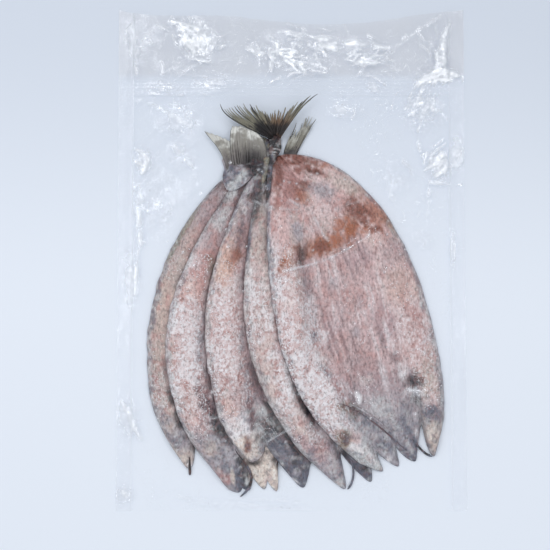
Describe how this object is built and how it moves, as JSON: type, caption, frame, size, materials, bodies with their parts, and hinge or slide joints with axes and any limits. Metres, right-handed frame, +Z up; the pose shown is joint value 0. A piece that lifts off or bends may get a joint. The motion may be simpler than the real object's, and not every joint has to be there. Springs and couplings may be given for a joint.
{
  "type": "salted mackerel pack",
  "caption": "Flat clear vacuum bag holding split salted mackerel fanned out flesh side up, tails together at the sealed mouth and half heads at the far end.",
  "frame": {"origin": "middle of the flat underside of the bag", "axes": "+Z up off the surface the bag lies on, +Y along the bag from the heads to the tails and the mouth, +X to the right seen from above"},
  "size_m": [0.28, 0.404, 0.0383],
  "materials": {
    "packed_fish": "pale pink fish under clear glossy film",
    "film": "clear glossy plastic film with fine creases",
    "flesh": "moist pink grey fish flesh with pale salt bloom",
    "fin": "olive grey fin rays"
  },
  "bodies": {
    "root": {"sealed_bag": "packed_fish"}
  },
  "joints": []
}
